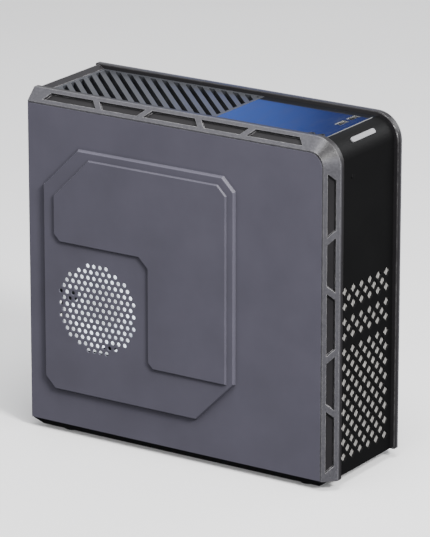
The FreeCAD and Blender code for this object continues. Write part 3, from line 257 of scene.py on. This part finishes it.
def bare_metal(name, color, rough, stretch=(40, 1, 40), spangle=0.0):
    """Bare metal with drawn scratches, and zinc spangle where it is plated."""
    maker = Maker(name, color, rough, metallic=1.0).round_edges(0.0004)
    maker.bump(maker.noise(60, 4, stretch), 0.12, 0.00008)
    base = None
    if spangle:
        cells = maker.node("ShaderNodeTexVoronoi")
        cells.inputs["Scale"].default_value = 130
        maker.link(maker.place, cells.inputs["Vector"])
        grey = maker.remap(cells.outputs["Distance"], 0.0, 0.9, 0.0, 1.0)
        base = maker.mix(grey, tuple(c * (1 - spangle) for c in color), color)
    return maker.finish(mottling=0.07, rough_swing=0.08, base=base)


def gloss_cover():
    """Black glossy plate with faint wipe marks."""
    maker = Maker("gloss_cover", (0.0065, 0.0075, 0.011), 0.13, specular=0.6, coat=1.0, coat_rough=0.05)
    maker.round_edges(0.0004)
    wipes = maker.noise(40, 5, (1, 7, 1))
    maker.link(maker.remap(wipes, 0.35, 0.75, 0.09, 0.26), maker.shader.inputs["Roughness"])
    maker.bump(maker.noise(60, 2), 0.03, 0.0004)
    return maker.finish(mottling=0.10)


def circuit_board():
    """Solder mask with copper tracks and plated through holes."""
    maker = Maker("circuit_board", (0.010, 0.024, 0.020), 0.32, specular=0.5, coat=0.6, coat_rough=0.15)
    maker.round_edges(0.0002)
    bricks = maker.node("ShaderNodeTexBrick", offset=0.5)
    for key, value in (("Scale", 60), ("Mortar Size", 0.045), ("Brick Width", 0.9), ("Row Height", 0.12)):
        bricks.inputs[key].default_value = value
    turn = maker.node("ShaderNodeMapping")
    turn.inputs["Rotation"].default_value = (0, math.radians(90), 0)
    maker.link(maker.place, turn.inputs["Vector"])
    maker.link(turn.outputs["Vector"], bricks.inputs["Vector"])
    zones = maker.remap(maker.noise(45, 2), 0.45, 0.52, 0, 1)
    tracks = maker.maths("MULTIPLY", bricks.outputs["Fac"], zones)
    vias = maker.node("ShaderNodeTexVoronoi")
    vias.inputs["Scale"].default_value = 260
    maker.link(maker.place, vias.inputs["Vector"])
    dots = maker.remap(vias.outputs["Distance"], 0.17, 0.12, 0, 1)
    tracked = maker.mix(tracks, (0.010, 0.024, 0.020), (0.022, 0.060, 0.045))
    base = maker.mix(dots, tracked, (0.45, 0.36, 0.17))
    maker.bump(tracks, 0.4, 0.00008)
    return maker.finish(rough_swing=0.05, base=base)


def woven_screen():
    """Fine woven screen behind the lattice."""
    maker = Maker("screen_steel", (0.52, 0.51, 0.49), 0.5, metallic=0.2)
    wires = []
    for stretch in ((1, 1, 0), (0, 1, 1)):
        wave = maker.node("ShaderNodeTexWave", bands_direction="DIAGONAL")
        wave.inputs["Scale"].default_value = 520
        maker.link(maker.stretched(stretch), wave.inputs["Vector"])
        wires.append(wave.outputs["Fac"])
    weave = maker.maths("MULTIPLY", wires[0], wires[1])
    base = maker.mix(maker.remap(weave, 0.10, 0.55, 0, 1), (0.44, 0.43, 0.41), (0.56, 0.55, 0.53))
    maker.bump(weave, 0.15, 0.0001)
    return maker.finish(rough_swing=0.08, base=base)


def rubber():
    maker = Maker("pad_rubber", (0.016, 0.016, 0.017), 0.82, specular=0.3)
    maker.bump(maker.noise(1800, 4), 0.5, 0.0001)
    return maker.finish(mottling=0.2, rough_swing=0.06)


def braided():
    maker = Maker("lead_sleeve", (0.016, 0.016, 0.018), 0.7, specular=0.35)
    wave = maker.node("ShaderNodeTexWave", bands_direction="DIAGONAL")
    wave.inputs["Scale"].default_value = 260
    maker.link(maker.place, wave.inputs["Vector"])
    base = maker.mix(wave.outputs["Fac"], (0.008, 0.008, 0.009), (0.045, 0.045, 0.05))
    maker.bump(wave.outputs["Fac"], 0.6, 0.0003)
    return maker.finish(base=base)


def painted_glow_white(name, color, glow):
    """Frosted plastic with a painted glow that keeps it bright white."""
    maker = Maker(name, color, 0.45, specular=0.4)
    maker.put("Emission Color", (0.90, 0.95, 1.0, 1))
    # Painted light: the emission makes the white plastic glow as if brightly lit.
    maker.put("Emission Strength", glow)
    maker.bump(maker.noise(1400, 3), 0.2, 0.00008)
    return maker.finish(mottling=0.05, rough_swing=0.05)


MATERIALS = {
    "panel_paint": powder_paint(
        "panel_paint", (0.098, 0.0935, 0.123), 0.46, (0.20, 0.195, 0.235),
        # Painted shade in the creases of the embossing, near black.
        crease_shade=(0.004, (0.004, 0.004, 0.006)),
    ),
    "trim_paint": trim_paint(),
    "bezel_black": moulded(
        "bezel_black", (0.0048, 0.0048, 0.0051), 0.50, wear=(0.030, 0.030, 0.032), specular=0.09,
    ),
    "cover_gloss": gloss_cover(),
    "grille_plastic": moulded(
        "grille_plastic", (0.040, 0.042, 0.048), 0.34, wear=(0.12, 0.125, 0.14), specular=0.35,
    ),
    "light_bar": moulded("light_bar", (0.24, 0.24, 0.252), 0.35, strength=0.15),
    "screen_metal": woven_screen(),
    "chassis_steel": powder_paint("chassis_steel", (0.016, 0.016, 0.018), 0.45, (0.07, 0.07, 0.075)),
    "zinc_steel": bare_metal("zinc_steel", (0.56, 0.57, 0.58), 0.36, spangle=0.22),
    "plinth_black": moulded(
        "plinth_black", (0.0045, 0.0045, 0.0050), 0.55, wear=(0.018, 0.018, 0.020), specular=0.25,
    ),
    "pad_rubber": rubber(),
    "screw_black": powder_paint("screw_black", (0.018, 0.018, 0.020), 0.32, (0.20, 0.20, 0.21)),
    "brass_fitting": bare_metal("brass_fitting", (0.74, 0.56, 0.26), 0.28, stretch=(1, 40, 40)),
    "circuit_board": circuit_board(),
    "connector_plastic": moulded("connector_plastic", (0.013, 0.013, 0.015), 0.42, grain=3200),
    "heatsink_metal": bare_metal("heatsink_metal", (0.70, 0.71, 0.73), 0.34),
    "fan_white": painted_glow_white("fan_white", (0.80, 0.82, 0.86), 1.0),
    "fan_black": moulded("fan_black", (0.012, 0.012, 0.013), 0.45),
    "drive_shell": powder_paint("drive_shell", (0.050, 0.051, 0.056), 0.38, (0.30, 0.30, 0.31)),
    "lead_sleeve": braided(),
    "socket_metal": bare_metal("socket_metal", (0.66, 0.66, 0.66), 0.27, stretch=(1, 1, 40)),
}

for node_name, cad_object in NODES.items():
    cad_object.data.materials.clear()
    cad_object.data.materials.append(MATERIALS[SLOT_OF[node_name]])


# ---------------------------------------------------------------- mesh helpers

def finish_piece(name, mesh, slot, body, smooth_angle=35, bevel=0.0):
    """Link a bmesh as a piece that rides on a body."""
    data = bpy.data.meshes.new(name)
    bmesh.ops.recalc_face_normals(mesh, faces=mesh.faces)
    mesh.to_mesh(data)
    mesh.free()
    piece = bpy.data.objects.new(name, data)
    bpy.context.scene.collection.objects.link(piece)
    data.materials.append(MATERIALS[slot])
    data.polygons.foreach_set("use_smooth", [True] * len(data.polygons))
    data.set_sharp_from_angle(angle=math.radians(smooth_angle))
    if bevel:
        modifier = piece.modifiers.new("edges", "BEVEL")
        modifier.width = bevel
        modifier.segments = 2
        modifier.limit_method = "ANGLE"
    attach(piece, body)
    return piece


def add_box(mesh, low, high):
    """A box between two corners, in millimetres."""
    centre = [(a + b) / 2 * MM for a, b in zip(low, high)]
    extent = [(b - a) * MM for a, b in zip(low, high)]
    matrix = Matrix.Translation(centre) @ Matrix.Diagonal((*extent, 1))
    bmesh.ops.create_cube(mesh, size=1, matrix=matrix)


def add_turned(mesh, origin, direction, profile, steps):
    """A turned shape: profile points are (radius, distance along the direction), in millimetres."""
    turn = Vector((0, 0, 1)).rotation_difference(Vector(direction)).to_matrix()
    origin = Vector(origin) * MM
    rings = []
    for radius, along in profile:
        ring = []
        for step in range(steps):
            angle = 2 * math.pi * step / steps
            local = Vector((radius * math.cos(angle), radius * math.sin(angle), along)) * MM
            ring.append(mesh.verts.new(origin + turn @ local))
        rings.append(ring)
    for first, second in zip(rings, rings[1:]):
        for step in range(steps):
            after = (step + 1) % steps
            mesh.faces.new((first[step], first[after], second[after], second[step]))
    mesh.faces.new(rings[0][::-1])
    mesh.faces.new(rings[-1])


def box_mm(node):
    low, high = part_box(node)
    return [c / MM for c in low], [c / MM for c in high]


# ---------------------------------------------------------------- detail pieces

def foot_pads():
    """Soft pads with rounded rims and a moulded ring, in place of the plain ones."""
    low, high = box_mm("rubber_feet")
    radius, tall = 8.0, high[2] - low[2]
    mesh = bmesh.new()
    profile = [
        (radius - 0.6, tall), (radius - 0.1, tall - 0.15), (radius, tall - 0.5), (radius - 0.1, 0.45),
        (radius - 0.6, 0.0), (5.6, 0.0), (5.3, 0.45), (4.7, 0.45), (4.4, 0.0), (0.6, 0.0),
    ]
    for x in (low[0] + radius, high[0] - radius):
        for y in (low[1] + radius, high[1] - radius):
            add_turned(mesh, (x, y, 0), (0, 0, 1), profile, steps=40)
    pads = finish_piece("foot_pads_moulded", mesh, "pad_rubber", "chassis")
    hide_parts("rubber_feet")


BOARD_NEIGHBOURS = (
    "processor_socket", "cooler_heatsink", "memory_slots", "memory_modules", "expansion_connector",
    "board_heatsinks", "board_connectors", "rear_usb_sockets", "rear_network_socket", "rear_display_socket",
    "rear_audio_jacks", "board_screws", "board_power_lead", "drive_data_lead",
)


def taken_cells(face_x, reach):
    """Millimetre cells (y, z) of the mainboard's face that other nodes stand on or come near."""
    cells = set()
    for node in BOARD_NEIGHBOURS:
        data = NODES[node].data
        places = [vertex.co / MM for vertex in data.vertices]
        for face in data.polygons:
            corners = [places[i] for i in face.vertices]
            if max(c.x for c in corners) < face_x - reach:
                continue
            y_low, y_high = min(c.y for c in corners), max(c.y for c in corners)
            z_low, z_high = min(c.z for c in corners), max(c.z for c in corners)
            for y in range(math.floor(y_low), math.floor(y_high) + 1):
                for z in range(math.floor(z_low), math.floor(z_high) + 1):
                    cells.add((y, z))
    return cells


def board_details():
    """Chips, capacitors, chokes and small parts on the free areas of the mainboard."""
    low, high = box_mm("mainboard")
    face = low[0]
    near, tall_taken = taken_cells(face, 3), taken_cells(face, 14)
    draw = random.Random(11)

    def find(width, height, taken, margin):
        """A free rectangle, or None."""
        for _ in range(300):
            y = draw.uniform(low[1] + 3, high[1] - 24 - width)
            z = draw.uniform(low[2] + 3, high[2] - 3 - height)
            cells = [
                (cy, cz)
                for cy in range(math.floor(y - margin), math.floor(y + width + margin) + 1)
                for cz in range(math.floor(z - margin), math.floor(z + height + margin) + 1)
            ]
            if not any(cell in taken for cell in cells):
                near.update(cells)
                tall_taken.update(cells)
                return y, z
        return None

    chokes, cans, chips, small = bmesh.new(), bmesh.new(), bmesh.new(), bmesh.new()
    for _ in range(6):
        spot = find(9, 9, tall_taken, 1)
        if spot:
            y, z = spot
            add_box(chokes, (face - 5.5, y, z), (face - 0.4, y + 9, z + 9))
            add_box(chokes, (face - 0.4, y + 1, z + 1), (face + 0.05, y + 8, z + 8))
    for _ in range(16):
        spot = find(6.4, 6.4, tall_taken, 0.6)
        if spot:
            profile = [(3.1, -0.05), (3.1, 1.0), (2.85, 1.4), (3.1, 1.8), (3.1, 7.6), (2.9, 7.9), (0.4, 7.9)]
            add_turned(cans, (face, spot[0] + 3.2, spot[1] + 3.2), (-1, 0, 0), profile, steps=24)
    for width, height in ((14, 14), (9, 9), (7, 10), (8, 5), (5, 5), (5, 5), (6, 4), (4, 4), (4, 4), (6, 9)):
        spot = find(width, height, near, 1)
        if spot:
            y, z = spot
            add_box(chips, (face - 1.3, y, z), (face - 0.15, y + width, z + height))
            for i in range(int(width) - 1):
                for edge in (z - 0.7, z + height - 0.1):
                    add_box(small, (face - 0.5, y + 0.6 + i, edge), (face + 0.03, y + 1.0 + i, edge + 0.8))
    for _ in range(240):
        wide, tall = draw.choice(((1.6, 0.8), (0.8, 1.6), (2.0, 1.2)))
        spot = find(wide, tall, near, 0)
        if spot:
            y, z = spot
            add_box(small, (face - 0.6, y, z), (face + 0.03, y + wide, z + tall))
    finish_piece("board_chokes", chokes, "drive_shell", "chassis", bevel=0.0004)
    finish_piece("board_capacitors", cans, "heatsink_metal", "chassis")
    finish_piece("board_chips", chips, "connector_plastic", "chassis", bevel=0.00012)
    finish_piece("board_small_parts", small, "socket_metal", "chassis")


def screw_profile(radius, tall):
    """A low domed screw head."""
    return [
        (radius, -0.05), (radius, tall * 0.45), (radius * 0.8, tall * 0.9), (radius * 0.4, tall), (0.3, tall),
    ]


def drive_details():
    """The drive's lid, its blank plate and lid screws."""
    low, high = box_mm("storage_drive")
    x = low[0]
    lid, plate, screws = bmesh.new(), bmesh.new(), bmesh.new()
    add_box(lid, (x - 0.35, low[1] + 1.6, low[2] + 1.6), (x + 0.2, high[1] - 1.6, high[2] - 9))
    add_box(plate, (x - 0.45, low[1] + 9, low[2] + 16), (x - 0.3, high[1] - 9, high[2] - 34))
    for y in (low[1] + 4.2, high[1] - 4.2):
        for z in (low[2] + 4.5, high[2] - 12):
            add_turned(screws, (x - 0.35, y, z), (-1, 0, 0), screw_profile(1.5, 0.5), steps=20)
    finish_piece("drive_lid", lid, "drive_shell", "chassis", bevel=0.0002)
    finish_piece("drive_blank_plate", plate, "socket_metal", "chassis", bevel=0.00005)
    finish_piece("drive_lid_screws", screws, "zinc_steel", "chassis")


def supply_details():
    """Seams, rear screws and a blank plate of the power supply."""
    low, high = box_mm("power_supply_case")
    seam, plate = bmesh.new(), bmesh.new()
    add_box(seam, (low[0] - 0.3, low[1] + 4, low[2] + 5), (low[0] + 0.1, high[1] - 4, low[2] + 14))
    add_box(plate, (low[0] - 0.12, low[1] + 60, low[2] + 22), (low[0] + 0.05, high[1] - 40, high[2] - 12))
    screws = bmesh.new()
    for y in (low[1] + 10, (low[1] + high[1]) / 2, high[1] - 10):
        add_turned(screws, (low[0] - 0.3, y, low[2] + 9.5), (-1, 0, 0), screw_profile(2.4, 0.8), steps=24)
    finish_piece("supply_side_fold", seam, "zinc_steel", "chassis", bevel=0.00015)
    finish_piece("supply_blank_plate", plate, "socket_metal", "chassis")
    finish_piece("supply_side_screws", screws, "socket_metal", "chassis")


def memory_details():
    """Chips and gold contacts on the memory sticks."""
    chips, contacts = bmesh.new(), bmesh.new()
    low, high = box_mm("memory_modules")
    for y in (low[1], high[1]):
        out = -1 if y == low[1] else 1
        for i in range(8):
            z = low[2] + 8 + i * 15
            side = sorted((y, y + out * 0.9))
            add_box(chips, (low[0] + 6, side[0], z), (low[0] + 17, side[1], z + 11))
        for i in range(60):
            z = low[2] + 5 + i * 2.05
            side = sorted((y, y + out * 0.06))
            add_box(contacts, (high[0] - 2.8, side[0], z), (high[0] - 0.3, side[1], z + 1.2))
    finish_piece("memory_chips", chips, "connector_plastic", "chassis", bevel=0.0001)
    finish_piece("memory_contacts", contacts, "brass_fitting", "chassis")


foot_pads()
board_details()
drive_details()
supply_details()
memory_details()


# ---------------------------------------------------------------- camera, floor and light

def aim(thing, target):
    thing.rotation_mode = "QUATERNION"
    thing.rotation_quaternion = (Vector(target) - thing.location).to_track_quat("-Z", "Y")


def add_camera():
    azimuth, elevation, distance = math.radians(-56.8), math.radians(17.75), 3.312
    target = Vector((-0.0013, -0.0005, 0.1450))
    back = Vector((
        math.sin(azimuth) * math.cos(elevation),
        -math.cos(azimuth) * math.cos(elevation),
        math.sin(elevation),
    ))
    data = bpy.data.cameras.new("camera")
    data.sensor_fit = "AUTO"
    data.sensor_width = 36
    data.lens = 279
    data.clip_start, data.clip_end = 0.1, 40
    camera = bpy.data.objects.new("camera", data)
    camera.location = target + back * distance
    aim(camera, target)
    bpy.context.scene.collection.objects.link(camera)
    bpy.context.scene.camera = camera


def add_light(name, place, target, extent, watts, color):
    data = bpy.data.lights.new(name, "AREA")
    data.shape = "RECTANGLE"
    data.size, data.size_y = extent
    data.energy = watts
    data.color = color
    lamp = bpy.data.objects.new(name, data)
    lamp.location = place
    aim(lamp, target)
    lamp.visible_camera = False
    bpy.context.scene.collection.objects.link(lamp)


def add_floor():
    """A pale floor that the camera and the shadows see, and the tower's own bounce light doesn't."""
    mesh = bmesh.new()
    bmesh.ops.create_circle(mesh, cap_ends=True, segments=96, radius=14)
    data = bpy.data.meshes.new("floor")
    mesh.to_mesh(data)
    mesh.free()
    floor = bpy.data.objects.new("floor", data)
    floor.location.z = -0.0001
    bpy.context.scene.collection.objects.link(floor)
    maker = Maker("floor", (0.90, 0.90, 0.905), 0.6, specular=0.2)
    maker.bump(maker.noise(25, 3), 0.03, 0.001)
    maker.put("Emission Color", (1.0, 1.0, 1.0, 1))
    maker.put("Emission Strength", 0.10)
    data.materials.append(maker.finish(mottling=0.01, mottle_scale=4))
    floor.visible_diffuse = False
    floor.visible_glossy = False


def add_world():
    """Pale above the horizon and dim below it, so that the tower darkens towards its foot."""
    world = bpy.data.worlds.new("studio")
    world.use_nodes = True
    tree = world.node_tree
    background = tree.nodes["Background"]
    background.inputs["Strength"].default_value = 0.56
    direction = tree.nodes.new("ShaderNodeTexCoord")
    axes = tree.nodes.new("ShaderNodeSeparateXYZ")
    ramp = tree.nodes.new("ShaderNodeMapRange")
    blend = tree.nodes.new("ShaderNodeMix")
    blend.data_type = "RGBA"
    for key, value in (("From Min", -0.35), ("From Max", -0.02)):
        ramp.inputs[key].default_value = value
    blend.inputs[MIX_FIRST].default_value = (0.12, 0.12, 0.126, 1)
    blend.inputs[MIX_SECOND].default_value = (0.97, 0.98, 1.0, 1)
    tree.links.new(direction.outputs["Generated"], axes.inputs["Vector"])
    tree.links.new(axes.outputs["Z"], ramp.inputs["Value"])
    tree.links.new(ramp.outputs["Result"], blend.inputs["Factor"])
    tree.links.new(blend.outputs[MIX_RESULT], background.inputs["Color"])
    bpy.context.scene.world = world


def add_reflection_card():
    """A dim blue card that only the gloss of the top sees, as a lit thing standing beside it would be."""
    mesh = bmesh.new()
    bmesh.ops.create_grid(mesh, x_segments=1, y_segments=1, size=0.5)
    data = bpy.data.meshes.new("reflection_card")
    mesh.to_mesh(data)
    mesh.free()
    card = bpy.data.objects.new("reflection_card", data)
    card.location = (0.80, 0.445, 0.585)
    card.scale = (0.20, 0.26, 1)
    aim(card, (0, -0.075, 0.28))
    for ray in ("visible_camera", "visible_diffuse", "visible_shadow", "visible_transmission"):
        setattr(card, ray, False)
    bpy.context.scene.collection.objects.link(card)
    maker = Maker("reflection_card", (0.0, 0.0, 0.0), 1.0, specular=0.0)
    axes = maker.node("ShaderNodeSeparateXYZ")
    maker.link(maker.place, axes.inputs["Vector"])
    along = maker.remap(axes.outputs["X"], -0.30, 0.25, 0.0, 0.8)
    patches = maker.remap(maker.noise(3.0, 1), 0.35, 0.65, 0.0, 0.2)
    glow = maker.mix(maker.maths("ADD", along, patches), (0.022, 0.040, 0.20), (0.105, 0.215, 0.80))
    maker.link(glow, maker.shader.inputs["Emission Color"])
    maker.put("Emission Strength", 1.4)
    data.materials.append(maker.material)


add_camera()
add_floor()
add_world()
MIDDLE = (0, 0, 0.14)
add_light("key", (-0.9, -2.3, 1.9), MIDDLE, (0.6, 0.6), 150, (1.0, 0.99, 0.98))
add_light("side_fill", (-2.5, -0.9, 0.8), MIDDLE, (1.2, 1.0), 8, (0.98, 0.99, 1.0))
add_light("right_fill", (2.4, -1.0, 1.1), MIDDLE, (1.4, 1.2), 16, (0.98, 0.99, 1.0))
add_light("top_soft", (-0.4, -0.3, 2.2), MIDDLE, (1.0, 1.0), 52, (1.0, 1.0, 1.0))
add_reflection_card()
